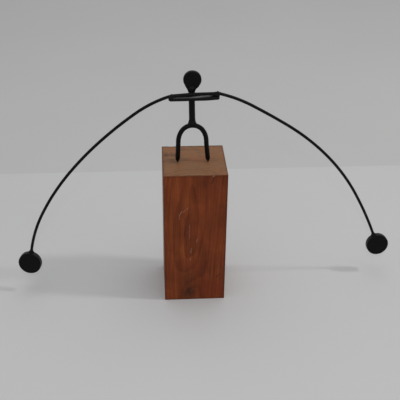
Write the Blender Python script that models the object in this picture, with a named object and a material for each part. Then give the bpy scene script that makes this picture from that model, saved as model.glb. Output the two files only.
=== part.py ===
"""Balancing figure: an iron stick man stands on two pointed toes on a wooden block.

He carries a long bowed rod with a disc weight at each end. The weights hang below his
toes, so he rocks forwards and back without falling, and he can be turned on the block.

Frame: origin at the centre of the block's underside, +X to the right along the arms,
+Y away from the figure's front, +Z up. Metres. The figure's own heights start at the
block's top face, under the middle of the two toes.
"""

import math

import bmesh
import bpy
from mathutils import Vector

# Block
BLOCK_SIDE = 0.0635
BLOCK_HEIGHT = 0.1524
BLOCK_EDGE = 0.0005

# Where the figure stands on the block's top face
STAND_X = -0.0013
STAND_Y = -0.0027

# Room between pieces that touch or are welded
GAP = 0.0003

# Toes: a ball point in a hollow under each leg, which the figure rocks on
FOOT_SPREAD = 0.0153
TOE_RADIUS = 0.0011
TOE_HEIGHT = GAP + TOE_RADIUS

# Legs: one rod bent to a hoop, ground to a point at each end
LEG_RADIUS = 0.00235
NOSE_LENGTH = 0.0047
NOSE_START = 0.0010
ARCH_SPRING = 0.021
ARCH_HALF_WIDTH = 0.0139
ARCH_RISE = 0.0191
ARCH_SHIFT = -0.0007
# Below 1 the arch is squarer than an ellipse
ARCH_ROUNDNESS = 0.92

# Torso and neck: one rod behind the arm bar, from the hoop to the head, leaning a little left
TORSO_FOOT_X = -0.0009
TORSO_LEAN = math.radians(1.4)
TORSO_RADIUS = 0.00305
TORSO_CHAMFER = 0.0003

# Room that a leaning rod's square ends need
TORSO_SLACK = TORSO_RADIUS * math.sin(TORSO_LEAN)
TORSO_FOOT = ARCH_SPRING + ARCH_RISE + LEG_RADIUS + GAP + TORSO_SLACK

# Head: a disc that faces the front
HEAD_X = -0.0011
HEAD_RADIUS = 0.0087
HEAD_THICKNESS = 0.0042
HEAD_EDGE = 0.0007
HEAD_CENTRE_Z = 0.0880

# Arm bar: it crosses in front of the torso, its left end a little low
ARM_RADIUS = 0.00275
ARM_LEFT = -0.0241
ARM_RIGHT = 0.0239
ARM_Z = 0.07165
ARM_Y = -(TORSO_RADIUS + ARM_RADIUS + GAP)
ARM_TILT = math.radians(0.6)
ARM_LEFT_ROUND = 0.0016
ARM_TAPER_LENGTH = 0.013
ARM_TAPER_RADIUS = 0.0021

# Balance rod: it lies along the top of the arm bar and bows down past the hands.
# Its plane is turned a little about the vertical, and set back towards the weights
# until the whole figure's weight is over its toes.
ROD_RADIUS = 0.0015
ROD_X = 0.0
ROD_Y = -0.0081
ROD_Z = 0.07655
ROD_TURN = math.radians(2.4)
ROD_SET_BACK = math.radians(3.7)
# For each side: points along the rod from its middle, as (distance, slope below the
# horizontal in degrees); the slope changes evenly from each to the next
LEFT_ROD = ((0, 0), (0.003, 3), (0.018, 3.3), (0.026, 19.5), (0.060, 36.7),
            (0.100, 42.5), (0.150, 50.6), (0.210, 63.2), (0.2617, 79.8))
RIGHT_ROD = ((0, 0), (0.021, 0), (0.026, 16.9), (0.060, 30.8),
             (0.100, 33.6), (0.150, 44.3), (0.220, 59.7), (0.2849, 66.8))
# Longest steps along the rod, where it bends by more than HARD_BEND degrees a metre and elsewhere
HARD_BEND = 1000
BEND_STEP = 0.0015
RUN_STEP = 0.009

# Weights: one disc at each end of the rod, its face to the front and tipped up a little
WEIGHT_RADIUS = 0.0121
WEIGHT_THICKNESS = 0.0060
WEIGHT_TILT = math.radians(9.5)
WEIGHT_EDGE = 0.0006
LEFT_WEIGHT_TWIST = math.radians(-12)
RIGHT_WEIGHT_TWIST = math.radians(0)

# Weld beads, as half sizes across, front to back, and up
CHEST_BEAD = (0.0046, 0.0022, 0.0027)
HAND_BEAD = (0.0031, 0.0025, 0.0025)
# Hand welds' centres in the rod's plane, as (across, up)
LEFT_HAND = (-0.0208, -0.0010)
RIGHT_HAND = (0.0216, 0)
# Weld fillets, as (height, centre across, half width across, half width front to back)
HIP_FILLET = ((0.0413, -0.0009, 0.0046, 0.0033), (0.0427, -0.0009, 0.0047, 0.0038),
              (0.0443, -0.0010, 0.0040, 0.0038), (0.0463, -0.0010, 0.0037, 0.0037))
HEAD_FILLET = ((0.0750, -0.0017, 0.0037, 0.0037), (0.0766, -0.0018, 0.0039, 0.0037),
               (0.0779, -0.0018, 0.0044, 0.0036), (0.0792, -0.0015, 0.0053, 0.0035),
               (0.0804, -0.0012, 0.0063, 0.0032), (0.0822, -0.0011, 0.0075, 0.0027))
WEIGHT_FILLET = ((-0.0014, 0, 0.0031, 0.0026), (0.0004, 0, 0.0029, 0.0025),
                 (0.0016, 0, 0.0024, 0.0024), (0.0030, 0, 0.0021, 0.0021))

THICK_SIDES = 18
THIN_SIDES = 12
DISC_SIDES = 48
BEAD_SEGMENTS = 18
BEAD_RINGS = 10
LEG_STEPS = 3
ARCH_STEPS = 22
SMOOTH_BELOW = math.radians(40)


def clear_scene():
    for old in list(bpy.data.objects):
        bpy.data.objects.remove(old, do_unlink=True)


def material(name, colour, roughness, metallic):
    made = bpy.data.materials.new(name)
    made.use_nodes = True
    shader = made.node_tree.nodes["Principled BSDF"]
    shader.inputs["Base Color"].default_value = (*colour, 1.0)
    shader.inputs["Roughness"].default_value = roughness
    shader.inputs["Metallic"].default_value = metallic
    return made


def add_object(name, shape, finish, parent, place, turn=(0, 0, 0)):
    """Links a bmesh to the scene as a smooth-shaded object under its parent."""
    mesh = bpy.data.meshes.new(name)
    bmesh.ops.recalc_face_normals(shape, faces=shape.faces)
    shape.to_mesh(mesh)
    shape.free()
    mesh.shade_smooth()
    mesh.set_sharp_from_angle(angle=SMOOTH_BELOW)
    made = bpy.data.objects.new(name, mesh)
    bpy.context.collection.objects.link(made)
    made.data.materials.append(finish)
    made.parent = parent
    made.location = place
    made.rotation_euler = turn
    return made


def add_empty(name, parent, place, turn=(0, 0, 0)):
    made = bpy.data.objects.new(name, None)
    bpy.context.collection.objects.link(made)
    made.parent = parent
    made.location = place
    made.rotation_euler = turn
    return made


def as_cutter(made):
    made.hide_render = True
    made.display_type = "WIRE"
    return made


def cut(target, cutters):
    for cutter in cutters:
        modifier = target.modifiers.new("cut_by_" + cutter.name, "BOOLEAN")
        modifier.operation = "DIFFERENCE"
        modifier.solver = "EXACT"
        modifier.object = cutter


def skin(rings):
    """Closed bmesh over rings of points: quads between rings, a flat cap at each end."""
    shape = bmesh.new()
    loops = [[shape.verts.new(point) for point in ring] for ring in rings]
    for low, high in zip(loops, loops[1:]):
        for i in range(len(low)):
            j = (i + 1) % len(low)
            shape.faces.new((low[i], low[j], high[j], high[i]))
    shape.faces.new(loops[0])
    shape.faces.new(loops[-1])
    return shape


def circle(sides):
    return [(math.cos(math.tau * i / sides), math.sin(math.tau * i / sides))
            for i in range(sides)]


def turned(profile, sides):
    """Round solid about local Z from (radius, height) points, bottom to top."""
    return skin([[(r * c, r * s, z) for c, s in circle(sides)] for r, z in profile])


def fillet(rings, sides):
    """Solid with an oval section from (height, centre, half across, half front to back)."""
    return skin([[(x + a * c, b * s, z) for c, s in circle(sides)] for z, x, a, b in rings])


def disc_profile(radius, thickness, edge, grow=0.0):
    half = thickness / 2 + grow
    r = radius + grow
    soft = edge * (1 - math.sqrt(0.5))
    return ((r - edge, -half), (r - soft, -half + soft), (r, -half + edge),
            (r, half - edge), (r - soft, half - soft), (r - edge, half))


def tube(path, sides):
    """Round tube along a path of (x, z, radius) points in the local XZ plane."""
    rings = []
    for i, (x, z, radius) in enumerate(path):
        before = path[max(i - 1, 0)]
        after = path[min(i + 1, len(path) - 1)]
        along = Vector((after[0] - before[0], 0, after[1] - before[1])).normalized()
        across = Vector((-along.z, 0, along.x))
        centre = Vector((x, 0, z))
        rings.append([centre + across * (radius * c) + Vector((0, radius * s, 0))
                      for c, s in circle(sides)])
    return skin(rings)


def bead(half_sizes):
    shape = bmesh.new()
    bmesh.ops.create_uvsphere(shape, u_segments=BEAD_SEGMENTS, v_segments=BEAD_RINGS, radius=1.0)
    bmesh.ops.scale(shape, vec=half_sizes, verts=shape.verts)
    return shape


def leg_path(grow=0.0):
    """The hoop's centre line, from above the left toe, over the arch, to the right toe."""
    def leg(side, z):
        share = z / ARCH_SPRING
        top = side * ARCH_HALF_WIDTH + ARCH_SHIFT
        x = side * FOOT_SPREAD * (1 - share) + top * share
        short = max(NOSE_LENGTH - z, 0) / NOSE_LENGTH
        return (x, z, LEG_RADIUS * (1 - short ** 2) + grow)

    nose_steps = 7
    nose = [NOSE_START + (NOSE_LENGTH - NOSE_START) * i / nose_steps for i in range(nose_steps)]
    straight = [NOSE_LENGTH + (ARCH_SPRING - NOSE_LENGTH) * i / LEG_STEPS for i in range(LEG_STEPS)]
    heights = nose + straight
    path = [leg(-1, z) for z in heights]
    for i in range(ARCH_STEPS + 1):
        angle = math.pi * i / ARCH_STEPS
        across = math.copysign(abs(math.cos(angle)) ** ARCH_ROUNDNESS, math.cos(angle))
        up = abs(math.sin(angle)) ** ARCH_ROUNDNESS
        path.append((ARCH_SHIFT - ARCH_HALF_WIDTH * across, ARCH_SPRING + ARCH_RISE * up,
                     LEG_RADIUS + grow))
    path += [leg(1, z) for z in reversed(heights)]
    return path


def rod_side(side, bends):
    """Points of half the balance rod in its own plane, outwards from its middle."""
    points = [(0.0, 0.0)]
    for (start, first), (finish, last) in zip(bends, bends[1:]):
        hard = abs(last - first) / (finish - start) > HARD_BEND
        steps = math.ceil((finish - start) / (BEND_STEP if hard else RUN_STEP))
        step = (finish - start) / steps
        for i in range(steps):
            slope = math.radians(first + (last - first) * (i + 0.5) / steps)
            x, z = points[-1]
            points.append((x + step * math.cos(slope), z - step * math.sin(slope)))
    return [(side * x, z) for x, z in points]


def rod_path(grow=0.0):
    left = rod_side(-1, LEFT_ROD)
    right = rod_side(1, RIGHT_ROD)
    return [(x, z, ROD_RADIUS + grow) for x, z in list(reversed(left)) + right[1:]]


def rod_end(side, bends):
    """The rod's end and its direction there, in the rod's own plane."""
    x, z = rod_side(side, bends)[-1]
    slope = math.radians(bends[-1][1])
    return Vector((x, 0, z)), Vector((side * math.cos(slope), 0, -math.sin(slope)))


def arm_profile(grow=0.0):
    """The arm bar's (radius, position) points, from its left end to its right."""
    left = ARM_LEFT - grow
    right = ARM_RIGHT + grow
    soft = ARM_LEFT_ROUND
    full = ARM_RADIUS + grow
    thin = ARM_TAPER_RADIUS + grow
    return ((full - soft, left), (full - 0.3 * soft, left + 0.3 * soft), (full, left + soft),
            (full, right - ARM_TAPER_LENGTH), (thin, right - 0.2 * soft), (thin - 0.5 * soft, right))


def torso_profile(grow=0.0):
    bottom = -grow
    top = HEAD_CENTRE_Z - HEAD_RADIUS - GAP - TORSO_SLACK - TORSO_FOOT + grow
    full = TORSO_RADIUS + grow
    return ((full - TORSO_CHAMFER, bottom), (full, bottom + TORSO_CHAMFER),
            (full, top - TORSO_CHAMFER), (full - TORSO_CHAMFER, top))


def make_block(wood):
    shape = bmesh.new()
    bmesh.ops.create_cube(shape, size=1.0)
    bmesh.ops.scale(shape, vec=(BLOCK_SIDE, BLOCK_SIDE, BLOCK_HEIGHT), verts=shape.verts)
    bmesh.ops.bevel(shape, geom=shape.edges[:], offset=BLOCK_EDGE, segments=2, affect="EDGES")
    add_object("wood_block", shape, wood, None, (0, 0, BLOCK_HEIGHT / 2))


def make_toes(iron, turn_axis):
    for name, side in (("left_toe", -1), ("right_toe", 1)):
        ball = bead((TOE_RADIUS, TOE_RADIUS, TOE_RADIUS))
        add_object(name, ball, iron, turn_axis, (side * FOOT_SPREAD, 0, TOE_HEIGHT))


def make_body(iron, figure):
    """Legs, torso, arms and head with their welds; returns the grown arm bar."""
    hoop = add_object("leg_hoop", tube(leg_path(), THICK_SIDES), iron, figure, (0, 0, 0))
    sockets = []
    for side in (-1, 1):
        hollow = bead((TOE_RADIUS + GAP, TOE_RADIUS + GAP, TOE_RADIUS + GAP))
        spot = (side * FOOT_SPREAD, 0, TOE_HEIGHT)
        sockets.append(as_cutter(add_object("toe_hollow", hollow, iron, figure, spot)))
    cut(hoop, sockets)

    arm_place = (0, ARM_Y, ARM_Z)
    head_place = (HEAD_X, 0, HEAD_CENTRE_Z)
    torso_place = (TORSO_FOOT_X, 0, TORSO_FOOT)
    torso_turn = (0, -TORSO_LEAN, 0)
    along_x = (0, math.radians(90) - ARM_TILT, 0)
    along_y = (math.radians(90), 0, 0)
    head = (HEAD_RADIUS, HEAD_THICKNESS, HEAD_EDGE)
    add_object("torso_rod", turned(torso_profile(), THICK_SIDES), iron, figure,
               torso_place, torso_turn)
    add_object("arm_bar", turned(arm_profile(), THICK_SIDES), iron, figure, arm_place, along_x)
    add_object("head_disc", turned(disc_profile(*head), DISC_SIDES), iron, figure, head_place, along_y)

    hoop_room = as_cutter(add_object("hoop_room", tube(leg_path(GAP), THICK_SIDES),
                                     iron, figure, (0, 0, 0)))
    torso_room = as_cutter(add_object("torso_room", turned(torso_profile(GAP), THICK_SIDES),
                                      iron, figure, torso_place, torso_turn))
    arm_room = as_cutter(add_object("arm_room", turned(arm_profile(GAP), THICK_SIDES),
                                    iron, figure, arm_place, along_x))
    head_room = as_cutter(add_object("head_room", turned(disc_profile(*head, GAP), DISC_SIDES),
                                     iron, figure, head_place, along_y))

    hip = add_object("hip_weld", fillet(HIP_FILLET, THICK_SIDES), iron, figure, (0, 0, 0))
    cut(hip, (torso_room, hoop_room))
    chest_x = TORSO_FOOT_X - (ARM_Z - TORSO_FOOT) * math.tan(TORSO_LEAN)
    chest_place = (chest_x, -TORSO_RADIUS - GAP / 2, ARM_Z)
    chest = add_object("chest_weld", bead(CHEST_BEAD), iron, figure, chest_place)
    cut(chest, (torso_room, arm_room))
    neck = add_object("head_weld", fillet(HEAD_FILLET, THICK_SIDES), iron, figure, (0, 0, 0))
    cut(neck, (torso_room, head_room))
    return arm_room


def make_balance(iron, carried, arm_room):
    """Rod, hand welds, weights and their welds, all in the rod's own plane."""
    add_object("balance_rod", tube(rod_path(), THIN_SIDES), iron, carried, (0, 0, 0))
    rod_room = as_cutter(add_object("rod_room", tube(rod_path(GAP), THIN_SIDES),
                                    iron, carried, (0, 0, 0)))
    for name, (x, z) in (("left_hand_weld", LEFT_HAND), ("right_hand_weld", RIGHT_HAND)):
        hand = add_object(name, bead(HAND_BEAD), iron, carried, (x, 0, z))
        cut(hand, (rod_room, arm_room))

    sides = (("left", -1, LEFT_ROD, LEFT_WEIGHT_TWIST), ("right", 1, RIGHT_ROD, RIGHT_WEIGHT_TWIST))
    weight = (WEIGHT_RADIUS, WEIGHT_THICKNESS, WEIGHT_EDGE)
    for word, side, rod, twist in sides:
        end, along = rod_end(side, rod)
        hang = Vector((along.x, along.z * math.sin(WEIGHT_TILT), along.z * math.cos(WEIGHT_TILT)))
        centre = end + hang * (GAP + ROD_RADIUS * math.sin(WEIGHT_TILT) + WEIGHT_RADIUS)
        turn = (math.radians(90) - WEIGHT_TILT, 0, twist)
        add_object(word + "_weight", turned(disc_profile(*weight), DISC_SIDES),
                   iron, carried, centre, turn)
        weight_room = add_object(word + "_weight_room", turned(disc_profile(*weight, GAP), DISC_SIDES),
                                 iron, carried, centre, turn)
        as_cutter(weight_room)
        lean = math.atan2(-along.x, -along.z)
        weld = add_object(word + "_weight_weld", fillet(WEIGHT_FILLET, THICK_SIDES),
                          iron, carried, end, (0, lean, 0))
        cut(weld, (rod_room, weight_room))


def main():
    clear_scene()
    wood = material("reddish_brown_wood", (0.107, 0.029, 0.012), 0.45, 0.0)
    iron = material("black_iron", (0.010, 0.010, 0.010), 0.42, 0.4)
    make_block(wood)
    turn_axis = add_empty("turn_axis", None, (STAND_X, STAND_Y, BLOCK_HEIGHT))
    rock_axis = add_empty("rock_axis", turn_axis, (0, 0, TOE_HEIGHT))
    figure = add_empty("figure_base", rock_axis, (0, 0, -TOE_HEIGHT))
    carried = add_empty("rod_plane", figure, (ROD_X, ROD_Y, ROD_Z), (ROD_SET_BACK, 0, ROD_TURN))
    make_toes(iron, turn_axis)
    arm_room = make_body(iron, figure)
    make_balance(iron, carried, arm_room)
    bpy.context.view_layer.update()


main()
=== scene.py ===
"""Looks of the balancing figure: oiled wood block, black iron figure, bowed rod, disc weights.

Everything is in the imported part's frame: metres, origin under the middle of the block,
+X to the right along the arms, +Y away from the figure's front, +Z up. The figure's own
heights start at the block's top face, under the middle of the two toes.
"""

import math

import bmesh
import bpy
from mathutils import Euler, Matrix, Vector, noise


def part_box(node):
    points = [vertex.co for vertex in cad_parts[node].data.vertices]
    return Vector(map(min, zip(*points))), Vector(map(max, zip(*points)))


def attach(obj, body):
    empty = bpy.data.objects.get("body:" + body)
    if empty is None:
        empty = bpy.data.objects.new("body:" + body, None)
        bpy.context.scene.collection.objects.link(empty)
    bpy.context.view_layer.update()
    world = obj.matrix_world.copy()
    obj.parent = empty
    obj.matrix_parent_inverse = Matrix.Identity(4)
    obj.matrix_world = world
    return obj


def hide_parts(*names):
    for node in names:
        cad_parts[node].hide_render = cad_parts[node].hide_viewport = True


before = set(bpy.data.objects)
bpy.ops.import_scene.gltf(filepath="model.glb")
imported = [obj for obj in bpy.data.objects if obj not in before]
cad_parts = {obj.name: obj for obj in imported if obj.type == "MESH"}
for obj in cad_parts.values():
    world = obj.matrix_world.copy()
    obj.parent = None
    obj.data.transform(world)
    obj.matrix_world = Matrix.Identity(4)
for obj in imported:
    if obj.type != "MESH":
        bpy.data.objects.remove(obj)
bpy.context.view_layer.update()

MM = 0.001

# Block, read from the frame
BLOCK_LOW, BLOCK_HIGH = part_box("wood_block")
BLOCK_TOP = BLOCK_HIGH.z
BLOCK_HALF = BLOCK_HIGH.x

# Where the figure stands, and the part's own sizes
STAND = Vector((-1.3 * MM, -2.7 * MM, BLOCK_TOP))
FOOT_SPREAD = 15.3 * MM
TOE_RADIUS = 1.1 * MM
TOE_HEIGHT = 1.4 * MM
LEG_RADIUS = 2.35 * MM
NOSE_LENGTH = 4.7 * MM
NOSE_START = 1.15 * MM
ARCH_SPRING = 21 * MM
ARCH_HALF_WIDTH = 13.9 * MM
ARCH_RISE = 19.1 * MM
ARCH_SHIFT = -0.7 * MM
ARCH_ROUNDNESS = 0.92
TORSO_FOOT_X = -0.9 * MM
TORSO_LEAN = math.radians(1.4)
TORSO_RADIUS = 3.05 * MM
HEAD_X = -1.1 * MM
HEAD_RADIUS = 8.7 * MM
HEAD_THICKNESS = 4.2 * MM
HEAD_CENTRE_Z = 88.0 * MM
ARM_RADIUS = 2.75 * MM
ARM_LEFT = -24.1 * MM
ARM_RIGHT = 23.9 * MM
ARM_Z = 71.65 * MM
ARM_Y = -6.1 * MM
ARM_TILT = math.radians(0.6)
ARM_TAPER_LENGTH = 13 * MM
ROD_RADIUS = 1.5 * MM
ROD_Y = -8.1 * MM
ROD_Z = 76.55 * MM
ROD_TURN = math.radians(2.4)
ROD_SET_BACK = math.radians(3.7)
# Distance along the rod from its middle in millimetres, slope below the horizontal there
LEFT_ROD = ((0, 0), (3, 3), (18, 3.3), (26, 19.5), (60, 36.7), (100, 42.5), (150, 50.6),
            (210, 63.2), (261.7, 79.8))
RIGHT_ROD = ((0, 0), (21, 0), (26, 16.9), (60, 30.8), (100, 33.6), (150, 44.3), (220, 59.7),
             (284.9, 66.8))
WELD_GAP = 0.3 * MM
WEIGHT_RADIUS = 12.1 * MM
WEIGHT_THICKNESS = 6.0 * MM
WEIGHT_TILT = math.radians(9.5)
WEIGHT_TWISTS = {"left": math.radians(-12), "right": 0.0}

FIGURE = Matrix.Translation(STAND)
ROD_PLANE = (FIGURE @ Matrix.Translation((0, ROD_Y, ROD_Z))
             @ Euler((ROD_SET_BACK, 0, ROD_TURN)).to_matrix().to_4x4())

ROUND_SIDES = 40
ROD_SIDES = 28
TOE_SIDES = 32
DISC_SIDES = 128
ROD_STEP = 1.5 * MM
QUARTER_TURN = math.radians(90)
SHARP_ANGLE = math.radians(50)

# The block's eased edges, the spacing of its grid, and how far in from an edge chips reach
BLOCK_EASE = 0.55 * MM
BLOCK_EDGE_GRID = tuple(MM * inset for inset in (0.0, 0.10, 0.22, 0.38, 0.55, 0.9, 1.5))
BLOCK_GRID = 1.05 * MM
CHIP_REACH = 1.6 * MM

# Weld beads: size of the cells they are melted together in, and height of their lumps
BEAD_CELL = 0.16 * MM
BEAD_LUMP = 0.10 * MM

# How worn the toes and the head's rim are, and how wide the worn part of a disc's rim is
LEG_WEAR_HEIGHT = 6 * MM
TOE_WEAR = 0.9
HEAD_WEAR = 0.6
RIM_WEAR_WIDTH = 0.9 * MM

# Painted highlight: a pale streak painted into the colour along the front of the arms, where a light's
# reflection falls. Angles are in degrees above the bar's front;
# the streak climbs and widens from one place to another, and brightens to the right
STREAK_ANGLE = 37
STREAK_CLIMB = 32
STREAK_WIDTH = 14
STREAK_WIDENING = 6
STREAK_CLIMB_START = -3 * MM
STREAK_CLIMB_LENGTH = 18 * MM
STREAK_BRIGHT_START = -4 * MM
STREAK_BRIGHT_LENGTH = 9 * MM
STREAK_DIM_SHARE = 0.36
STREAK_LEFT_FADE = 9 * MM
STREAK_RIGHT_FADE = 4 * MM
STREAK_RIGHT_GAP = 6 * MM

# Two flat sheets that meet behind the block, the far one lower by a step and tucked under
SEAM_Y = 0.2525
SHEET_STEP = 0.8 * MM
SHEET_OVERLAP = 0.02
STAGE_HALF = 6
STAGE_BACK = 9

# Lights and camera
LIGHT_TARGET = Vector((0, 0, 0.15))
KEY_DIRECTION = Vector((0.69, -0.10, 0.715))
KEY_DISTANCE = 3.0
OVERHEAD_OFFSET = Vector((0.09, 0.10, 1.25))
FLASH_PLACE = (-0.045, -0.69, 0.60)
WHITE = (1.0, 1.0, 1.0)
WARM_WHITE = (1.0, 0.985, 0.96)
SKY_COLOUR = (0.98, 0.99, 1.0, 1.0)
SKY_STRENGTH = 0.48
CAMERA_PLACE = (-0.0425, -0.6688, 0.5161)
CAMERA_YAW = math.radians(4.20)
CAMERA_PITCH = math.radians(31.49)
CAMERA_ROLL = math.radians(0.79)
CAMERA_LENS = 68.1
CAMERA_SENSOR = 36.0


# ---------------------------------------------------------------- materials

class Paint:
    """A node material under construction; every method returns the socket it made."""

    def __init__(self, name):
        self.material = bpy.data.materials.new(name)
        self.material.use_nodes = True
        self.nodes = self.material.node_tree.nodes
        self.links = self.material.node_tree.links
        self.shader = self.nodes["Principled BSDF"]
        self.place = self.nodes.new("ShaderNodeTexCoord").outputs["Object"]

    def put(self, socket, value):
        if isinstance(value, bpy.types.NodeSocket):
            self.links.new(value, socket)
        elif value is not None:
            socket.default_value = value

    def math(self, operation, *values):
        node = self.nodes.new("ShaderNodeMath")
        node.operation = operation
        for socket, value in zip(node.inputs, values):
            self.put(socket, value)
        return node.outputs[0]

    def vector(self, operation, *values):
        node = self.nodes.new("ShaderNodeVectorMath")
        node.operation = operation
        for socket, value in zip(node.inputs, values):
            self.put(socket, value)
        scalar = operation in ("LENGTH", "DISTANCE", "DOT_PRODUCT")
        return node.outputs["Value" if scalar else "Vector"]

    def split(self, vector):
        node = self.nodes.new("ShaderNodeSeparateXYZ")
        self.put(node.inputs[0], vector)
        return node.outputs

    def join(self, x, y, z):
        node = self.nodes.new("ShaderNodeCombineXYZ")
        for socket, value in zip(node.inputs, (x, y, z)):
            self.put(socket, value)
        return node.outputs[0]

    def stretched(self, scale):
        return self.vector("MULTIPLY", self.place, scale)

    def noise(self, where, scale, detail=3.0, roughness=0.5, distortion=0.0, colour=False):
        node = self.nodes.new("ShaderNodeTexNoise")
        self.put(node.inputs["Vector"], where)
        node.inputs["Scale"].default_value = scale
        node.inputs["Detail"].default_value = detail
        node.inputs["Roughness"].default_value = roughness
        node.inputs["Distortion"].default_value = distortion
        return node.outputs["Color" if colour else "Fac"]

    def remap(self, value, low, high, to_low=0.0, to_high=1.0, smooth=False):
        node = self.nodes.new("ShaderNodeMapRange")
        if smooth:
            node.interpolation_type = "SMOOTHSTEP"
        for socket, setting in zip(node.inputs, (value, low, high, to_low, to_high)):
            self.put(socket, setting)
        return node.outputs[0]

    def ramp(self, value, stops):
        node = self.nodes.new("ShaderNodeValToRGB")
        elements = node.color_ramp.elements
        while len(elements) < len(stops):
            elements.new(1.0)
        for element, (at, colour) in zip(elements, stops):
            element.position = at
            element.color = (*colour, 1.0) if hasattr(colour, "__len__") else (colour,) * 3 + (1.0,)
        self.put(node.inputs[0], value)
        return node.outputs[0]

    def mix(self, share, first, second, blend="MIX"):
        node = self.nodes.new("ShaderNodeMix")
        node.data_type = "RGBA"
        node.blend_type = blend
        self.put(node.inputs["Factor"], share)
        self.put(node.inputs[6], (*first, 1.0) if isinstance(first, tuple) else first)
        self.put(node.inputs[7], (*second, 1.0) if isinstance(second, tuple) else second)
        return node.outputs[2]

    def bump(self, height, distance, strength=1.0, under=None):
        node = self.nodes.new("ShaderNodeBump")
        node.inputs["Strength"].default_value = strength
        node.inputs["Distance"].default_value = distance
        self.put(node.inputs["Height"], height)
        self.put(node.inputs["Normal"], under)
        return node.outputs[0]

    def finish(self, colour, roughness, normal, **constants):
        self.put(self.shader.inputs["Base Color"], colour)
        self.put(self.shader.inputs["Roughness"], roughness)
        self.put(self.shader.inputs["Normal"], normal)
        for name, value in constants.items():
            self.shader.inputs[name.replace("_", " ")].default_value = value
        return self.material


def blob(paint, parts, centre, sizes):
    """1 at centre, falling to 0 over sizes, from the x, y, z sockets in parts."""
    total = None
    for socket, middle, size in zip(parts, centre, sizes):
        off = paint.math("DIVIDE", paint.math("SUBTRACT", socket, middle), size)
        square = paint.math("MULTIPLY", off, off)
        total = square if total is None else paint.math("ADD", total, square)
    return paint.math("EXPONENT", paint.math("MULTIPLY", total, -1.0))


def scratch_group():
    """Node group: 1 on the segment that goes Along from Start, falling to 0 at Width from it."""
    group = bpy.data.node_groups.new("segment_mask", "ShaderNodeTree")
    for name, kind in (("Point", "NodeSocketVector"), ("Start", "NodeSocketVector"),
                       ("Along", "NodeSocketVector"), ("Width", "NodeSocketFloat")):
        group.interface.new_socket(name, in_out="INPUT", socket_type=kind)
    group.interface.new_socket("Mask", in_out="OUTPUT", socket_type="NodeSocketFloat")
    source = group.nodes.new("NodeGroupInput")
    result = group.nodes.new("NodeGroupOutput")

    def vector(operation, first, second):
        node = group.nodes.new("ShaderNodeVectorMath")
        node.operation = operation
        group.links.new(first, node.inputs[0])
        group.links.new(second, node.inputs[1])
        return node

    def share_of(part, whole):
        node = group.nodes.new("ShaderNodeMath")
        node.operation = "DIVIDE"
        node.use_clamp = True
        group.links.new(part, node.inputs[0])
        group.links.new(whole, node.inputs[1])
        return node.outputs[0]

    offset = vector("SUBTRACT", source.outputs["Point"], source.outputs["Start"]).outputs[0]
    reach = vector("DOT_PRODUCT", offset, source.outputs["Along"]).outputs["Value"]
    whole = vector("DOT_PRODUCT", source.outputs["Along"], source.outputs["Along"]).outputs["Value"]
    share = share_of(reach, whole)
    step = group.nodes.new("ShaderNodeVectorMath")
    step.operation = "SCALE"
    group.links.new(source.outputs["Along"], step.inputs[0])
    group.links.new(share, step.inputs["Scale"])
    away = vector("DISTANCE", offset, step.outputs[0]).outputs["Value"]
    near = share_of(away, source.outputs["Width"])
    flip = group.nodes.new("ShaderNodeMath")
    flip.operation = "SUBTRACT"
    flip.inputs[0].default_value = 1.0
    group.links.new(near, flip.inputs[1])
    group.links.new(flip.outputs[0], result.inputs["Mask"])
    return group


# Marks on the block, as (start, end, half width) in millimetres. The first list is pale
# scuffs, the second dark lines.
PALE_MARKS = (
    ((-16.5, -31.7, 106.5), (-13.8, -31.7, 111.5), 0.55),
    ((-16.2, -31.7, 102.5), (-15.6, -31.7, 106.0), 0.35),
    ((-8.6, -31.7, 114.0), (-7.6, -31.7, 116.2), 0.55),
    ((-12.5, -31.7, 110.5), (-10.0, -31.7, 114.0), 0.32),
    ((-6.3, -31.7, 78.0), (-5.7, -31.7, 96.0), 0.28),
    ((-4.3, -31.7, 60.5), (-4.0, -31.7, 66.5), 0.42),
    ((-4.9, -31.7, 51.5), (-4.7, -31.7, 54.5), 0.40),
    ((1.0, -31.7, 74.0), (2.4, -31.7, 77.5), 0.42),
    ((16.8, -31.9, 151.2), (18.0, -31.9, 152.2), 0.75),
    ((-31.7, -12.0, 96.0), (-31.7, -3.0, 103.0), 0.30),
    ((-31.7, 6.0, 41.0), (-31.7, 9.5, 57.0), 0.26),
    ((31.7, -6.0, 72.0), (31.7, 2.5, 79.0), 0.30),
    ((31.7, 13.0, 118.0), (31.7, 15.0, 127.0), 0.26),
    ((9.0, 31.7, 64.0), (15.5, 31.7, 71.0), 0.30),
    ((-14.0, 31.7, 103.0), (-11.5, 31.7, 121.0), 0.26),
)
DARK_MARKS = (
    ((-11.2, -31.7, 82.0), (-9.4, -31.7, 104.0), 0.55),
    ((-9.3, -31.7, 70.0), (-8.4, -31.7, 84.0), 0.40),
    ((15.6, -31.7, 143.0), (17.6, -31.7, 149.5), 0.85),
    ((22.0, -31.7, 28.0), (26.5, -31.7, 33.5), 0.65),
    ((-31.7, -18.0, 25.0), (-31.7, -16.5, 44.0), 0.45),
    ((31.7, 5.0, 22.0), (31.7, 7.5, 43.0), 0.45),
    ((-3.0, 31.7, 36.0), (-1.0, 31.7, 58.0), 0.45),
)


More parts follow.
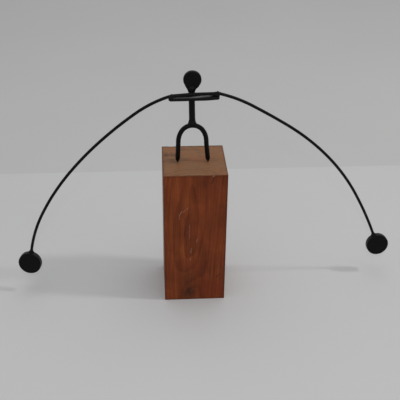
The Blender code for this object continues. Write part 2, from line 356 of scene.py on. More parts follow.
# Wood colours; each ramp goes from pale early wood to dark late wood
SIDE_TONES = (
    (0.02, (0.330, 0.080, 0.020)),
    (0.38, (0.198, 0.0425, 0.0092)),
    (0.70, (0.112, 0.0220, 0.0052)),
    (1.00, (0.042, 0.0090, 0.0030)),
)
END_TONES = (
    (0.10, (0.310, 0.160, 0.078)),
    (0.50, (0.232, 0.112, 0.054)),
    (0.90, (0.120, 0.052, 0.025)),
)
RING_TONES = ((0.0, 0.12), (0.45, 0.22), (0.82, 0.80), (0.93, 1.0), (1.0, 0.12))
RED_WOOD = (0.185, 0.026, 0.0080)
PORE_COLOUR = (0.030, 0.009, 0.004)
STAIN_COLOUR = (0.275, 0.112, 0.050)
SOIL_COLOUR = (0.070, 0.040, 0.026)
BACK_EDGE_COLOUR = (0.060, 0.045, 0.028)
SMUDGE_COLOUR = (0.018, 0.010, 0.007)
# Painted shade for the faces next to the block's edges
EDGE_SHADE_COLOUR = (0.055, 0.015, 0.006)
EDGE_RUBBED_COLOUR = (0.205, 0.085, 0.038)
DARK_MARK_COLOUR = (0.034, 0.015, 0.009)
PALE_MARK_COLOUR = (0.380, 0.270, 0.210)
RING_SPACING = 0.0030


def late_wood(paint, spot):
    """Growth rings round a pith in front of and below the block, bent round a knot."""
    x, y, z = spot
    sway = paint.noise(paint.stretched((26, 26, 5)), 1.0, 2.0, colour=True)
    sway = paint.vector("MULTIPLY", paint.vector("SUBTRACT", sway, (0.5, 0.5, 0.5)),
                        (0.014, 0.014, 0.0))
    wobble_x, wobble_y, _ = paint.split(sway)
    across = paint.math("ADD", x, wobble_x)
    deep = paint.math("ADD", y, wobble_y)
    lean = paint.math("MULTIPLY", z, -0.075)
    from_pith_x = paint.math("ADD", paint.math("ADD", across, 0.012), lean)
    from_pith_y = paint.math("ADD", deep, 0.058)
    reach = paint.vector("LENGTH", paint.join(from_pith_x, from_pith_y, 0.0))
    knot = blob(paint, spot, (-0.006, -0.036, 0.004), (0.013, 0.028, 0.033))
    reach = paint.math("ADD", reach, paint.math("MULTIPLY", knot, 0.010))
    drift = paint.noise(paint.join(paint.math("MULTIPLY", reach, 190.0), 0.0, 0.0), 1.0, 1.0)
    reach = paint.math("ADD", reach, paint.math("MULTIPLY", drift, 0.0042))
    rings = paint.math("FRACT", paint.math("DIVIDE", reach, RING_SPACING))
    return paint.ramp(rings, RING_TONES)


def side_colour(paint, spot, late, fibres, pores):
    """The long grain: rings, broad bands, fibres and patches, redder in places."""
    bands = paint.noise(paint.stretched((150, 150, 6)), 1.0, 3.0, 0.55)
    blotches = paint.noise(paint.place, 42.0, 3.0, 0.6)
    tone = paint.math("ADD", paint.math("MULTIPLY", late, 0.22),
                      paint.math("MULTIPLY", paint.remap(bands, 0.25, 0.75), 0.30))
    tone = paint.math("ADD", tone, paint.math("MULTIPLY", paint.remap(fibres, 0.3, 0.7), 0.34))
    patches = paint.noise(paint.stretched((38, 38, 22)), 1.0, 3.0, 0.6)
    tone = paint.math("ADD", tone, paint.remap(patches, 0.3, 0.7, -0.16, 0.20))
    light_spot = blob(paint, spot, (0.001, -0.0318, 0.090), (0.007, 0.020, 0.013))
    tone = paint.math("SUBTRACT", tone, paint.math("MULTIPLY", light_spot, 0.16))
    colour = paint.ramp(tone, SIDE_TONES)
    redder = paint.remap(blotches, 0.42, 0.68, 0.0, 0.35)
    red_spot = blob(paint, spot, (0.020, -0.0318, 0.014), (0.010, 0.020, 0.012))
    redder = paint.math("ADD", redder, paint.math("MULTIPLY", red_spot, 0.35))
    colour = paint.mix(redder, colour, RED_WOOD)
    return paint.mix(paint.math("MULTIPLY", pores, 0.45), colour, PORE_COLOUR)


def end_colour(paint, spot, late):
    """The end grain: paler and greyer, stained, and soiled most at the back left."""
    grit = paint.noise(paint.place, 2600.0, 2.0, 0.7)
    tone = paint.math("ADD", paint.math("MULTIPLY", late, 0.55), paint.math("MULTIPLY", grit, 0.40))
    colour = paint.ramp(tone, END_TONES)
    stain = paint.remap(paint.noise(paint.place, 55.0, 3.0, 0.55), 0.42, 0.66, 0.0, 0.75)
    colour = paint.mix(stain, colour, STAIN_COLOUR)
    soil = paint.remap(paint.noise(paint.place, 95.0, 4.0, 0.62), 0.50, 0.66, 0.0, 0.55)
    back_left = blob(paint, spot, (-0.024, 0.020, 0.152), (0.020, 0.024, 0.1))
    soil_share = paint.math("ADD", paint.math("MULTIPLY", back_left, 1.1), 0.35)
    colour = paint.mix(paint.math("MULTIPLY", soil, soil_share), colour, SOIL_COLOUR)
    ragged = paint.remap(paint.noise(paint.place, 170.0, 2.0), 0.3, 0.7, -0.0008, 0.0008)
    ragged_y = paint.math("ADD", spot[1], ragged)
    back_edge = paint.remap(ragged_y, 0.0290, 0.0306, 0.0, 0.75, smooth=True)
    return paint.mix(back_edge, colour, BACK_EDGE_COLOUR)


def with_smudge(paint, spot, colour):
    """Dark figure round the knot, and a dark foot."""
    smudge = blob(paint, spot, (-0.0065, -0.032, 0.009), (0.0085, 0.010, 0.0105))
    above = blob(paint, spot, (-0.0075, -0.032, 0.022), (0.0085, 0.010, 0.021))
    smudge = paint.math("MAXIMUM", smudge, paint.math("MULTIPLY", above, 0.55))
    grime = paint.noise(paint.stretched((260, 260, 90)), 1.0, 3.0, 0.65)
    smudge = paint.math("MULTIPLY", smudge, paint.remap(grime, 0.30, 0.60, 0.55, 1.0))
    return paint.mix(paint.math("MULTIPLY", smudge, 0.80), colour, SMUDGE_COLOUR)


def with_edge_shade_and_wear(paint, spot, colour):
    """Painted shade darkening the faces near the edges, and pale right on them.

    The distance to the nearest edge is the middle one of the distances to the faces.
    """
    x, y, z = spot
    to_x = paint.math("SUBTRACT", BLOCK_HALF, paint.math("ABSOLUTE", x))
    to_y = paint.math("SUBTRACT", BLOCK_HALF, paint.math("ABSOLUTE", y))
    to_z = paint.math("MINIMUM", z, paint.math("SUBTRACT", BLOCK_TOP, z))
    total = paint.math("ADD", paint.math("ADD", to_x, to_y), to_z)
    least = paint.math("MINIMUM", paint.math("MINIMUM", to_x, to_y), to_z)
    most = paint.math("MAXIMUM", paint.math("MAXIMUM", to_x, to_y), to_z)
    to_edge = paint.math("SUBTRACT", paint.math("SUBTRACT", total, least), most)
    edge_jitter = paint.math("SUBTRACT", paint.noise(paint.place, 260.0, 4.0, 0.65), 0.5)
    to_edge = paint.math("ADD", to_edge, paint.math("MULTIPLY", edge_jitter, 0.0022))
    # Painted shade: each face darkens towards its edges
    painted_edge_shade = paint.remap(to_edge, 0.0, 0.0026, 0.42, 0.0, smooth=True)
    rubbed = paint.remap(to_edge, -0.0004, 0.0003, 0.5, 0.0, smooth=True)
    colour = paint.mix(painted_edge_shade, colour, EDGE_SHADE_COLOUR)
    return paint.mix(rubbed, colour, EDGE_RUBBED_COLOUR)


def mark_mask(paint, group, where, listed):
    """1 on the listed marks, 0 away from them."""
    covered = None
    for start, finish, width in listed:
        node = paint.nodes.new("ShaderNodeGroup")
        node.node_tree = group
        paint.put(node.inputs["Point"], where)
        node.inputs["Start"].default_value = [MM * value for value in start]
        node.inputs["Along"].default_value = [MM * (b - a) for a, b in zip(start, finish)]
        node.inputs["Width"].default_value = MM * width
        mask = node.outputs["Mask"]
        covered = mask if covered is None else paint.math("MAXIMUM", covered, mask)
    return paint.math("MINIMUM", paint.math("MULTIPLY", covered, 1.6), 1.0)


def wood_relief(paint, spot, fibres, pores, late, dark, end):
    """Bumps: fibres, pores, rings, dark lines, saw marks on the ends, and slow waves."""
    grooves = paint.math("SUBTRACT", paint.math("MULTIPLY", fibres, 0.6),
                         paint.math("MULTIPLY", pores, 0.7))
    grooves = paint.math("SUBTRACT", grooves, paint.math("MULTIPLY", late, 0.25))
    grooves = paint.math("SUBTRACT", grooves, paint.math("MULTIPLY", dark, 0.6))
    x, y, _ = spot
    saw_place = paint.join(paint.math("MULTIPLY", x, 30.0), paint.math("MULTIPLY", y, 1500.0), 0.0)
    saw = paint.math("MULTIPLY", paint.noise(saw_place, 1.0, 2.0, 0.6), end)
    grooves = paint.math("ADD", grooves, paint.math("MULTIPLY", saw, 0.8))
    relief = paint.bump(grooves, 0.00006, 0.8)
    waves = paint.noise(paint.stretched((60, 60, 14)), 1.0, 2.0)
    return paint.bump(waves, 0.0004, 0.5, relief)


def wood_material():
    paint = Paint("oiled_redwood")
    spot = tuple(paint.split(paint.place))
    late = late_wood(paint, spot)
    fibres = paint.noise(paint.stretched((1900, 1900, 26)), 1.0, 3.0, 0.6)
    pores = paint.remap(paint.noise(paint.stretched((3600, 3600, 150)), 1.0, 1.0, 0.5), 0.63, 0.74)

    up = paint.nodes.new("ShaderNodeNewGeometry").outputs["Normal"]
    end = paint.remap(paint.math("ABSOLUTE", paint.split(up)[2]), 0.75, 0.95)
    colour = paint.mix(end, side_colour(paint, spot, late, fibres, pores),
                       end_colour(paint, spot, late))
    colour = with_smudge(paint, spot, colour)
    colour = with_edge_shade_and_wear(paint, spot, colour)

    group = scratch_group()
    ragged = paint.noise(paint.place, 900.0, 2.0, 0.6, colour=True)
    ragged = paint.vector("MULTIPLY", paint.vector("SUBTRACT", ragged, (0.5, 0.5, 0.5)),
                          (0.0011,) * 3)
    where = paint.vector("ADD", paint.place, ragged)
    pale = mark_mask(paint, group, where, PALE_MARKS)
    dark = mark_mask(paint, group, where, DARK_MARKS)
    colour = paint.mix(paint.math("MULTIPLY", dark, 0.72), colour, DARK_MARK_COLOUR)
    colour = paint.mix(paint.math("MULTIPLY", pale, 0.55), colour, PALE_MARK_COLOUR)

    gloss = paint.math("ADD", paint.remap(fibres, 0.2, 0.8, 0.40, 0.52),
                       paint.math("MULTIPLY", end, 0.06))
    gloss = paint.math("ADD", gloss, paint.math("MULTIPLY", pale, 0.12))
    relief = wood_relief(paint, spot, fibres, pores, late, dark, end)
    return paint.finish(colour, gloss, relief, Specular_IOR_Level=0.16)


def iron_material(name, grain, pits, shine, specular, ragged=0.6, wear_and_sheen_range=(0.95, 1.35),
                  wear_and_sheen_colour=(0.022, 0.021, 0.019)):
    """Satin black over steel: grain is the size of the skin's texture, pits its depth.

    Where the mesh's wear and sheen values plus a ragged share of the grain run through the given
    range, the colour
    goes to the given pale colour: worn steel on the toes and the discs' rims, and a painted highlight
    in the streak on the arms.
    """
    paint = Paint(name)
    clouds = paint.noise(paint.place, 130.0, 4.0, 0.6)
    fine = paint.noise(paint.place, 2.2 / grain, 3.0, 0.6)
    dents = paint.noise(paint.place, 0.30 / grain, 2.0, 0.5)
    colour = paint.ramp(clouds, (
        (0.25, (0.0018, 0.0018, 0.0020)),
        (0.55, (0.0030, 0.0029, 0.0028)),
        (0.80, (0.0055, 0.0046, 0.0040)),
    ))
    wear_and_sheen_share = paint.nodes.new("ShaderNodeAttribute")
    wear_and_sheen_share.attribute_name = "wear_and_sheen"
    wear_and_sheen_share = paint.math("ADD", wear_and_sheen_share.outputs["Fac"], paint.math("MULTIPLY", fine, ragged))
    wear_and_sheen_share = paint.remap(wear_and_sheen_share, *wear_and_sheen_range, 0.0, 0.85)
    # worn metal on the toes and rims; on the arms this pale colour is a painted highlight
    colour = paint.mix(wear_and_sheen_share, colour, wear_and_sheen_colour)
    specks = paint.remap(paint.noise(paint.place, 1500.0, 1.0), 0.70, 0.78, 0.0, 0.5)
    colour = paint.mix(specks, colour, (0.014, 0.011, 0.009))
    gloss = paint.math("ADD", paint.remap(clouds, 0.3, 0.7, shine - 0.05, shine + 0.07),
                       paint.math("MULTIPLY", wear_and_sheen_share, -0.08))
    gloss = paint.math("ADD", gloss, paint.remap(fine, 0.3, 0.7, -0.03, 0.04))
    relief = paint.bump(fine, pits, 0.6)
    relief = paint.bump(dents, pits * 6.0, 0.5, relief)
    return paint.finish(colour, gloss, relief, Specular_IOR_Level=specular)


# ---------------------------------------------------------------- shapes

def clamped(value):
    """The value held between 0 and 1."""
    return min(max(value, 0.0), 1.0)


def grain_at(point, size, seed=0.0):
    """Smooth noise between -1 and 1 with features of about this size."""
    return noise.noise(point / size + Vector((seed, 1.7 * seed, 0.6 * seed)))


def add_piece(name, shape, finish, body, nodes, place=None, wear_and_sheen=None):
    """A finished mesh in the frame, from a bmesh and its material.

    It rides a CAD body and stands for the listed CAD nodes.
    """
    if place is not None:
        shape.transform(place)
    bmesh.ops.recalc_face_normals(shape, faces=shape.faces)
    mesh = bpy.data.meshes.new(name)
    shape.to_mesh(mesh)
    shape.free()
    mesh.shade_smooth()
    mesh.set_sharp_from_angle(angle=SHARP_ANGLE)
    made = bpy.data.objects.new(name, mesh)
    bpy.context.scene.collection.objects.link(made)
    mesh.materials.append(finish)
    if wear_and_sheen is not None:
        layer = mesh.attributes.new("wear_and_sheen", "FLOAT", "POINT")
        layer.data.foreach_set("value", [wear_and_sheen(vertex.co) for vertex in mesh.vertices])
    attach(made, body)
    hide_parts(*nodes)
    return made


def skin(rings):
    """Closed surface over rings of points, with a fan at each end."""
    shape = bmesh.new()
    loops = [[shape.verts.new(point) for point in ring] for ring in rings]
    for low, high in zip(loops, loops[1:]):
        for i in range(len(low)):
            j = (i + 1) % len(low)
            shape.faces.new((low[i], low[j], high[j], high[i]))
    for loop in (loops[0], loops[-1]):
        middle = shape.verts.new(sum((v.co for v in loop), Vector()) / len(loop))
        for i in range(len(loop)):
            shape.faces.new((loop[i], loop[(i + 1) % len(loop)], middle))
    return shape


def tube(path, sides=ROUND_SIDES, rough=0.0, rough_size=4 * MM, seed=0.0):
    """Round rod along (point, radius) pairs, its skin uneven by about rough."""
    rings = []
    side = None
    for i, (centre, radius) in enumerate(path):
        before = path[max(i - 1, 0)][0]
        after = path[min(i + 1, len(path) - 1)][0]
        along = (after - before).normalized()
        if side is None:
            side = along.orthogonal().normalized()
        side = (side - along * side.dot(along)).normalized()
        other = along.cross(side)
        ring = []
        for k in range(sides):
            angle = math.tau * k / sides
            out = side * math.cos(angle) + other * math.sin(angle)
            spot = centre + out * radius
            ring.append(centre + out * (radius + rough * grain_at(spot, rough_size, seed)))
        rings.append(ring)
    return skin(rings)


def spread(values, steps):
    """Catmull-Rom curve through tuples of numbers, with this many steps between each two."""
    points = []
    last = len(values) - 1
    for i in range(last):
        before, first, second, after = (values[max(i - 1, 0)], values[i], values[i + 1],
                                        values[min(i + 2, last)])
        for step in range(steps):
            t = step / steps
            points.append(tuple(
                0.5 * (2 * b + (c - a) * t + (2 * a - 5 * b + 4 * c - d) * t ** 2
                       + (3 * b - a - 3 * c + d) * t ** 3)
                for a, b, c, d in zip(before, first, second, after)))
    points.append(tuple(values[last]))
    return points


def collar(rings, sides=ROUND_SIDES, steps=5, rough=0.0, seed=0.0):
    """Weld fillet with an oval section, from (height, centre, half across, half front to back)."""
    loops = []
    for z, x, a, b in spread(rings, steps):
        ring = []
        for k in range(sides):
            angle = math.tau * k / sides
            spot = Vector((a * math.cos(angle), b * math.sin(angle), z))
            grain = grain_at(spot, 1.6 * MM, seed) + 0.4 * grain_at(spot, 0.7 * MM, seed)
            lump = 1 + rough * grain
            ring.append(Vector((x + spot.x * lump, spot.y * lump, z)))
        loops.append(ring)
    return skin(loops)


def disc(radius, thickness, edge, uneven, seed):
    """Flat disc about local Z, sawn and ground by hand: soft edges, not quite round or flat."""
    half = thickness / 2
    steps = 5
    face = [(radius * share, -half) for share in (0.12, 0.3, 0.5, 0.68, 0.82, 0.92)]
    for i in range(steps + 1):
        turn = math.pi / 2 * i / steps
        face.append((radius - edge + edge * math.sin(turn), -half + edge - edge * math.cos(turn)))
    straight = thickness - 2 * edge
    rim = [(radius, -half + edge + straight * share) for share in (0.25, 0.5, 0.75)]
    profile = face + rim + [(r, -z) for r, z in reversed(face)]
    loops = []
    for r, z in profile:
        ring = []
        for k in range(DISC_SIDES):
            angle = math.tau * k / DISC_SIDES
            spot = Vector((r * math.cos(angle), r * math.sin(angle), z))
            outer = Vector((radius * math.cos(angle), radius * math.sin(angle), 0))
            out = 1 + uneven * (grain_at(outer, 7 * MM, seed) - 0.7) / radius
            flat = 1 - uneven * (0.5 + 0.5 * grain_at(spot, 5 * MM, seed + 4)) / half
            ring.append(Vector((spot.x * out, spot.y * out, z * flat)))
        loops.append(ring)
    return skin(loops)


def lumps(parts, seed):
    """Weld bead: the union of ellipsoids (centre, half sizes, turn about Y), melted together."""
    shape = bmesh.new()
    for centre, sizes, turn in parts:
        made = bmesh.ops.create_icosphere(shape, subdivisions=3, radius=1.0)["verts"]
        bmesh.ops.scale(shape, vec=sizes, verts=made)
        bmesh.ops.rotate(shape, matrix=Matrix.Rotation(turn, 3, "Y"), verts=made)
        bmesh.ops.translate(shape, vec=centre, verts=made)
    mesh = bpy.data.meshes.new("lumps")
    shape.to_mesh(mesh)
    shape.free()
    helper = bpy.data.objects.new("lumps", mesh)
    bpy.context.scene.collection.objects.link(helper)
    remesh = helper.modifiers.new("melt", "REMESH")
    remesh.mode = "VOXEL"
    remesh.voxel_size = BEAD_CELL
    graph = bpy.context.evaluated_depsgraph_get()
    melted = bmesh.new()
    melted.from_mesh(helper.evaluated_get(graph).to_mesh())
    bpy.data.objects.remove(helper)
    for _ in range(4):
        bmesh.ops.smooth_vert(melted, verts=melted.verts, factor=0.5,
                              use_axis_x=True, use_axis_y=True, use_axis_z=True)
    melted.normal_update()
    for vertex in melted.verts:
        lift = grain_at(vertex.co, 1.3 * MM, seed) + 0.4 * grain_at(vertex.co, 0.6 * MM, seed + 2)
        vertex.co += vertex.normal * (BEAD_LUMP * lift)
    return melted


def leg_path():
    """The bent leg rod, from the left toe over the arch to the right toe."""
    nose_steps = 14
    leg_steps = 16
    arch_steps = 80

    def leg(side, z):
        share = z / ARCH_SPRING
        top = side * ARCH_HALF_WIDTH + ARCH_SHIFT
        short = max(NOSE_LENGTH - z, 0) / NOSE_LENGTH
        x = side * FOOT_SPREAD * (1 - share) + top * share
        return Vector((x, 0, z)), LEG_RADIUS * (1 - short ** 2)

    nose = NOSE_LENGTH - NOSE_START
    rise = ARCH_SPRING - NOSE_LENGTH
    heights = [NOSE_START + nose * i / nose_steps for i in range(nose_steps)]
    heights += [NOSE_LENGTH + rise * i / leg_steps for i in range(leg_steps)]
    path = [leg(-1, z) for z in heights]
    for i in range(arch_steps + 1):
        angle = math.pi * i / arch_steps
        across = math.copysign(abs(math.cos(angle)) ** ARCH_ROUNDNESS, math.cos(angle))
        up = abs(math.sin(angle)) ** ARCH_ROUNDNESS
        spot = Vector((ARCH_SHIFT - ARCH_HALF_WIDTH * across, 0, ARCH_SPRING + ARCH_RISE * up))
        path.append((spot, LEG_RADIUS))
    return path + [leg(1, z) for z in reversed(heights)]


def rod_side(side, bends):
    """Points of half the balance rod in its own plane, outwards from its middle."""
    points = [(0.0, 0.0)]
    for (start, first), (finish, last) in zip(bends, bends[1:]):
        length = (finish - start) * MM
        steps = math.ceil(length / ROD_STEP)
        step = length / steps
        for i in range(steps):
            slope = math.radians(first + (last - first) * (i + 0.5) / steps)
            x, z = points[-1]
            points.append((x + step * math.cos(slope), z - step * math.sin(slope)))
    return [(side * x, z) for x, z in points]


def rod_end(side, bends):
    """The rod's end and its direction there, in the rod's own plane."""
    x, z = rod_side(side, bends)[-1]
    slope = math.radians(bends[-1][1])
    return Vector((x, 0, z)), Vector((side * math.cos(slope), 0, -math.sin(slope)))


def chip(point):
    """How deep the block's corner is worn at a point on one of its edges."""
    small = max(grain_at(point, 3.1 * MM, 3.0) - 0.42, 0.0) * 0.9 * MM
    large = max(grain_at(point, 11 * MM, 8.0) - 0.45, 0.0) * 1.1 * MM
    return small + large


def block_shape():
    """The block as six joined grids, its edges eased and chipped a little."""
    def stations(low, high):
        count = round((high - low) / BLOCK_GRID)
        inner = BLOCK_EDGE_GRID[-1]
        middle = [low + inner + (high - low - 2 * inner) * i / count for i in range(1, count)]
        return ([low + inset for inset in BLOCK_EDGE_GRID] + middle
                + [high - inset for inset in reversed(BLOCK_EDGE_GRID)])

    axes = [stations(BLOCK_LOW[i], BLOCK_HIGH[i]) for i in range(3)]
    core_low = Vector([value + BLOCK_EASE for value in BLOCK_LOW])
    core_high = Vector([value - BLOCK_EASE for value in BLOCK_HIGH])
    middle_of_block = Vector((0, 0, BLOCK_TOP / 2))
    shape = bmesh.new()
    known = {}

    def corner(indices):
        if indices not in known:
            raw = Vector([axes[i][k] for i, k in enumerate(indices)])
            core = Vector([min(max(raw[i], core_low[i]), core_high[i]) for i in range(3)])
            rounded = core + (raw - core).normalized() * BLOCK_EASE
            depths = [min(raw[i] - BLOCK_LOW[i], BLOCK_HIGH[i] - raw[i]) for i in range(3)]
            nearest, second, _ = sorted(depths)
            near = max(1 - second / CHIP_REACH, 0.0)
            inward = middle_of_block - rounded
            if depths[2] not in (nearest, second):
                inward.z = 0
            rounded += inward.normalized() * (chip(raw) * near ** 1.5)
            known[indices] = shape.verts.new(rounded)
        return known[indices]

    last = [len(axis) - 1 for axis in axes]
    for flat in range(3):
        first, second = (i for i in range(3) if i != flat)
        for level in (0, last[flat]):
            for a in range(last[first]):
                for b in range(last[second]):
                    square = []
                    for da, db in ((0, 0), (1, 0), (1, 1), (0, 1)):
                        index = [0, 0, 0]
                        index[flat] = level
                        index[first] = a + da
                        index[second] = b + db
                        square.append(corner(tuple(index)))
                    shape.faces.new(square)
    return shape


# ---------------------------------------------------------------- pieces

def make_block(wood):
    add_piece("block", block_shape(), wood, "block", ["wood_block"])


def make_legs(iron):
    path = leg_path()
    shape = tube(path, rough=0.035 * MM, rough_size=3.5 * MM, seed=1)

    def wear_and_sheen(point):
        return max(0.0, 1 - (point.z - STAND.z) / LEG_WEAR_HEIGHT)

    add_piece("legs", shape, iron, "figure", ["leg_hoop"], FIGURE, wear_and_sheen)
    for name, side in (("left", -1), ("right", 1)):
        rings = []
        steps = 16
        for i in range(1, steps):
            turn = math.pi * i / steps - math.pi / 2
            z = math.sin(turn) * (TOE_RADIUS if turn > 0 else TOE_HEIGHT - 0.02 * MM)
            rings.append((z, 0.0, TOE_RADIUS * math.cos(turn), TOE_RADIUS * math.cos(turn)))
        tip = collar(rings, sides=TOE_SIDES, steps=1, rough=0.01, seed=side)
        spot = FIGURE @ Matrix.Translation((side * FOOT_SPREAD, 0, TOE_HEIGHT))
        add_piece(name + "_toe_point", tip, iron, "toes", [name + "_toe"], spot,
                  lambda point: TOE_WEAR)


def make_torso(iron):
    foot = ARCH_SPRING + ARCH_RISE + LEG_RADIUS
    bottom = foot - LEG_RADIUS * 0.6
    top = HEAD_CENTRE_Z - HEAD_RADIUS + 0.4 * MM
    steps = 60
    path = []
    for i in range(steps + 1):
        z = bottom + (top - bottom) * i / steps
        path.append((Vector((TORSO_FOOT_X - (z - foot) * math.tan(TORSO_LEAN), 0, z)), TORSO_RADIUS))
    shape = tube(path, rough=0.04 * MM, rough_size=4 * MM, seed=5)
    add_piece("torso", shape, iron, "figure", ["torso_rod"], FIGURE)


def painted_highlight_streak(point):
    """The painted highlight streak along the front of the arms, 1 where it is brightest."""
    x, y, z = point - STAND
    climb = clamped((x - STREAK_CLIMB_START) / STREAK_CLIMB_LENGTH)
    angle = math.degrees(math.atan2(z - ARM_Z - x * math.sin(ARM_TILT), ARM_Y - y))
    width = STREAK_WIDTH + STREAK_WIDENING * climb
    off = (angle - STREAK_ANGLE - STREAK_CLIMB * climb) / width
    brighter = clamped((x - STREAK_BRIGHT_START) / STREAK_BRIGHT_LENGTH)
    bright = STREAK_DIM_SHARE + (1 - STREAK_DIM_SHARE) * brighter
    right_end = clamped((ARM_RIGHT - STREAK_RIGHT_GAP - x) / STREAK_RIGHT_FADE)
    left_end = clamped((x - ARM_LEFT) / STREAK_LEFT_FADE)
    return math.exp(-off * off) * bright * right_end * left_end


def make_arms(iron):
    """The bar: rounded left end, straight run, and a taper to a blunt right end."""
    run_steps = 40
    taper_steps = 16
    left_end = ((0, 0.25), (0.12, 0.50), (0.45, 0.72), (1.0, 0.86), (1.7, 0.95), (2.6, 1.0))
    profile = [(ARM_LEFT + MM * inset, ARM_RADIUS * share) for inset, share in left_end]
    run_start = profile[-1][0]
    taper_start = ARM_RIGHT - ARM_TAPER_LENGTH
    run = taper_start - run_start
    taper = ARM_TAPER_LENGTH - 0.35 * MM
    for i in range(1, run_steps + 1):
        profile.append((run_start + run * i / run_steps, ARM_RADIUS))
    for i in range(1, taper_steps + 1):
        share = i / taper_steps
        profile.append((taper_start + taper * share, ARM_RADIUS - 0.62 * MM * share ** 1.2))
    profile += [(ARM_RIGHT - 0.12 * MM, 1.95 * MM), (ARM_RIGHT, 1.55 * MM)]
    path = [(Vector((x * math.cos(ARM_TILT), ARM_Y, ARM_Z + x * math.sin(ARM_TILT))), radius)
            for x, radius in profile]
    shape = tube(path, rough=0.045 * MM, rough_size=4.5 * MM, seed=9)
    # The streak values become a pale painted highlight in the arms' colour
    add_piece("arms", shape, iron, "figure", ["arm_bar"], FIGURE, painted_highlight_streak)


def rim_wear(centre, across, radius):
    """Wear that is 1 on the rim's edges of a disc whose axis is across."""
    def wear_and_sheen(point):
        off = point - centre
        height = off.dot(across)
        out = (off - across * height).length
        return max(0.0, 1 - abs(out - radius) / RIM_WEAR_WIDTH)
    return wear_and_sheen


def make_head(iron):
    upright = (FIGURE @ Matrix.Translation((HEAD_X, 0, HEAD_CENTRE_Z))
               @ Matrix.Rotation(QUARTER_TURN, 4, "X"))
    shape = disc(HEAD_RADIUS, HEAD_THICKNESS, 0.7 * MM, 0.07 * MM, 2)
    wear_and_sheen = rim_wear(upright.translation, Vector((0, 1, 0)), HEAD_RADIUS)
    add_piece("head", shape, iron, "figure", ["head_disc"], upright,
              lambda point: HEAD_WEAR * wear_and_sheen(point))


def make_rod(iron):
    left = rod_side(-1, LEFT_ROD)
    right = rod_side(1, RIGHT_ROD)
    path = []
    for x, z in list(reversed(left)) + right[1:]:
        sway = 0.10 * MM * grain_at(Vector((x, 0, z)), 26 * MM, 12)
        path.append((Vector((x, sway, z)), ROD_RADIUS))
    shape = tube(path, sides=ROD_SIDES, rough=0.02 * MM, rough_size=3 * MM, seed=14)
    add_piece("balance_bow", shape, iron, "figure", ["balance_rod"], ROD_PLANE)


def make_weights(iron, weld):
    for word, side, rod in (("left", -1, LEFT_ROD), ("right", 1, RIGHT_ROD)):
        end, along = rod_end(side, rod)
        hang = Vector((along.x, along.z * math.sin(WEIGHT_TILT), along.z * math.cos(WEIGHT_TILT)))
        centre = end + hang * (WELD_GAP + ROD_RADIUS * math.sin(WEIGHT_TILT) + WEIGHT_RADIUS)
        facing = Euler((QUARTER_TURN - WEIGHT_TILT, 0, WEIGHT_TWISTS[word]))
        turned = ROD_PLANE @ Matrix.Translation(centre) @ facing.to_matrix().to_4x4()
        shape = disc(WEIGHT_RADIUS, WEIGHT_THICKNESS, 0.6 * MM, 0.10 * MM, 6 + side)
        across = (turned.to_3x3() @ Vector((0, 0, 1))).normalized()
        wear_and_sheen = rim_wear(turned.translation, across, WEIGHT_RADIUS)
        add_piece(word + "_bob", shape, iron, "figure", [word + "_weight"], turned, wear_and_sheen)

        lean = math.atan2(-along.x, -along.z)
        fillet = [(-1.9, 0, 3.7, 2.4), (-1.3, 0, 3.4, 2.5), (-0.5, 0, 3.0, 2.5), (0.3, 0, 2.65, 2.4),
                  (1.1, 0, 2.25, 2.15), (2.0, 0, 1.85, 1.85), (2.9, 0, 1.6, 1.6), (3.5, 0, 1.35, 1.35)]
        rings = [tuple(MM * value for value in ring) for ring in fillet]
        joint = collar(rings, steps=6, rough=0.07, seed=20 + side)
        spot = ROD_PLANE @ Matrix.Translation(end) @ Matrix.Rotation(lean, 4, "Y")
        add_piece(word + "_bob_weld", joint, weld, "figure", [word + "_weight_weld"], spot)


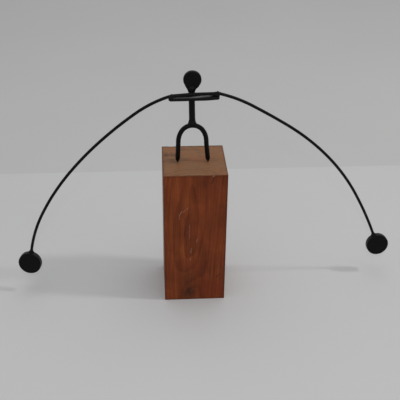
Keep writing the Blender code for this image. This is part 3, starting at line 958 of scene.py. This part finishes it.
def make_welds(weld):
    hip = [(40.8, -0.9, 4.7, 2.5), (41.6, -0.9, 4.6, 3.1), (42.5, -0.9, 4.25, 3.5),
           (43.6, -0.95, 3.8, 3.5), (45.0, -1.0, 3.4, 3.4), (46.4, -1.0, 3.15, 3.15),
           (47.3, -1.0, 2.8, 2.8)]
    neck = [(74.2, -1.7, 2.8, 2.8), (75.0, -1.7, 3.2, 3.2), (76.5, -1.8, 3.6, 3.4),
            (77.8, -1.8, 4.05, 3.3), (79.1, -1.6, 4.9, 3.0), (80.4, -1.25, 6.0, 2.55),
            (81.8, -1.1, 6.9, 2.1), (82.8, -1.1, 6.9, 1.7)]
    for name, rings, rough, seed, node in (("hip_joint", hip, 0.035, 31, "hip_weld"),
                                           ("neck_joint", neck, 0.03, 33, "head_weld")):
        scaled = [tuple(MM * value for value in ring) for ring in rings]
        shape = collar(scaled, steps=7, rough=rough, seed=seed)
        add_piece(name, shape, weld, "figure", [node], FIGURE)

    chest = []
    for side in (-1, 1):
        for i in range(5):
            z = -2.2 + 1.1 * i
            chest.append((Vector((side * 2.6, -0.15 + 0.1 * side, z)) * MM,
                          Vector((1.25, 1.7, 0.95)) * MM, 0.0))
    chest_x = TORSO_FOOT_X - (ARM_Z - ARCH_SPRING - ARCH_RISE - LEG_RADIUS) * math.tan(TORSO_LEAN)
    place = FIGURE @ Matrix.Translation((chest_x, -TORSO_RADIUS - 0.15 * MM, ARM_Z))
    add_piece("chest_joint", lumps(chest, 41), weld, "figure", ["chest_weld"], place)

    left = [((-22.6, -0.2, -1.9), (1.7, 1.9, 1.9), 0.2), ((-21.0, -0.1, -1.2), (1.9, 2.0, 1.95), 0.1),
            ((-19.4, 0.0, -1.1), (1.8, 1.8, 1.7), -0.1), ((-21.4, 0.5, -3.0), (1.8, 2.0, 1.7), 0.0)]
    right = [((19.2, 0.0, -0.5), (1.7, 1.7, 1.5), 0.1), ((21.0, 0.0, -0.1), (1.8, 1.9, 1.9), 0.1),
             ((22.7, 0.1, 0.15), (1.5, 2.0, 2.15), 0.0), ((24.3, 0.1, -0.3), (1.7, 1.8, 1.7), 0.3),
             ((23.4, -0.1, -2.4), (1.3, 1.8, 1.7), 0.0), ((23.6, -0.2, -4.6), (1.0, 1.6, 1.5), 0.0),
             ((26.2, 0.0, -0.6), (1.6, 1.45, 1.35), 0.3)]
    for name, parts, seed, node in (("left_hand", left, 45, "left_hand_weld"),
                                    ("right_hand", right, 47, "right_hand_weld")):
        scaled = [(Vector(at) * MM, Vector(sizes) * MM, turn) for at, sizes, turn in parts]
        add_piece(name, lumps(scaled, seed), weld, "figure", [node], ROD_PLANE)


# ---------------------------------------------------------------- stage, light, camera

def sheet_material(name, colour):
    paint = Paint(name)
    cloud = paint.noise(paint.place, 3.0, 3.0, 0.5)
    tint = tuple(value * 0.97 for value in colour)
    mixed = paint.mix(paint.remap(cloud, 0.3, 0.7), colour, tint)
    weave = paint.noise(paint.place, 900.0, 2.0, 0.6)
    return paint.finish(mixed, 0.9, paint.bump(weave, 0.0002, 0.4), Specular_IOR_Level=0.2)


def add_sheet(name, corners, finish):
    shape = bmesh.new()
    shape.faces.new([shape.verts.new(corner) for corner in corners])
    mesh = bpy.data.meshes.new(name)
    shape.to_mesh(mesh)
    shape.free()
    made = bpy.data.objects.new(name, mesh)
    bpy.context.scene.collection.objects.link(made)
    mesh.materials.append(finish)


def make_stage():
    near = sheet_material("pale_table_cloth", (0.655, 0.655, 0.655))
    far = sheet_material("pale_far_cloth", (0.605, 0.605, 0.60))
    for name, front, back, height, finish in (
            ("floor_near", -STAGE_HALF, SEAM_Y, 0, near),
            ("floor_far", SEAM_Y - SHEET_OVERLAP, STAGE_BACK, -SHEET_STEP, far)):
        add_sheet(name, ((-STAGE_HALF, front, height), (STAGE_HALF, front, height),
                         (STAGE_HALF, back, height), (-STAGE_HALF, back, height)), finish)


def add_light(name, place, target, size, watts, colour):
    lamp = bpy.data.lights.new(name, "AREA")
    lamp.shape = "DISK"
    lamp.size = size
    lamp.energy = watts
    lamp.color = colour
    made = bpy.data.objects.new(name, lamp)
    bpy.context.scene.collection.objects.link(made)
    made.location = place
    made.rotation_mode = "QUATERNION"
    made.rotation_quaternion = (Vector(target) - Vector(place)).to_track_quat("-Z", "Y")


def make_light():
    world = bpy.data.worlds.new("studio")
    bpy.context.scene.world = world
    world.use_nodes = True
    back = world.node_tree.nodes["Background"]
    back.inputs["Color"].default_value = SKY_COLOUR
    back.inputs["Strength"].default_value = SKY_STRENGTH
    for name, place, size, watts, colour in (
            ("key", LIGHT_TARGET + KEY_DIRECTION * KEY_DISTANCE, 0.26, 16.0, WARM_WHITE),
            ("overhead", LIGHT_TARGET + OVERHEAD_OFFSET, 1.0, 2.6, WHITE),
            ("flash", FLASH_PLACE, 0.05, 0.6, WHITE)):
        add_light(name, place, LIGHT_TARGET, size, watts, colour)


def make_camera():
    flat = Vector((math.sin(CAMERA_YAW), math.cos(CAMERA_YAW), 0.0))
    ahead = flat * math.cos(CAMERA_PITCH) - Vector((0, 0, math.sin(CAMERA_PITCH)))
    level = Vector((math.cos(CAMERA_YAW), -math.sin(CAMERA_YAW), 0.0))
    above = level.cross(ahead)
    right = level * math.cos(CAMERA_ROLL) + above * math.sin(CAMERA_ROLL)
    up = above * math.cos(CAMERA_ROLL) - level * math.sin(CAMERA_ROLL)
    data = bpy.data.cameras.new("camera")
    data.sensor_width = CAMERA_SENSOR
    data.lens = CAMERA_LENS
    data.clip_start = 0.01
    data.clip_end = 50.0
    made = bpy.data.objects.new("camera", data)
    bpy.context.scene.collection.objects.link(made)
    turn = Matrix((right, up, -ahead)).transposed().to_4x4()
    made.matrix_world = Matrix.Translation(CAMERA_PLACE) @ turn
    bpy.context.scene.camera = made


wood = wood_material()
iron = iron_material("satin_black_iron", 1.1 * MM, 0.012 * MM, 0.36, 0.12)
# The arms' iron: high streak values turn its colour pale, which is a painted highlight, not bare metal
highlight_streak_iron = iron_material("black_iron_with_painted_highlight", 1.4 * MM, 0.010 * MM, 0.34, 0.16,
                             ragged=0.3, wear_and_sheen_range=(0.22, 1.10), wear_and_sheen_colour=(0.40, 0.396, 0.39))
weld = iron_material("black_weld", 0.8 * MM, 0.030 * MM, 0.42, 0.16)
make_block(wood)
make_legs(iron)
make_torso(iron)
make_arms(highlight_streak_iron)
make_head(iron)
make_rod(iron)
make_weights(iron, weld)
make_welds(weld)
make_stage()
make_light()
make_camera()
bpy.context.scene.view_settings.view_transform = "Standard"

bpy.context.view_layer.update()
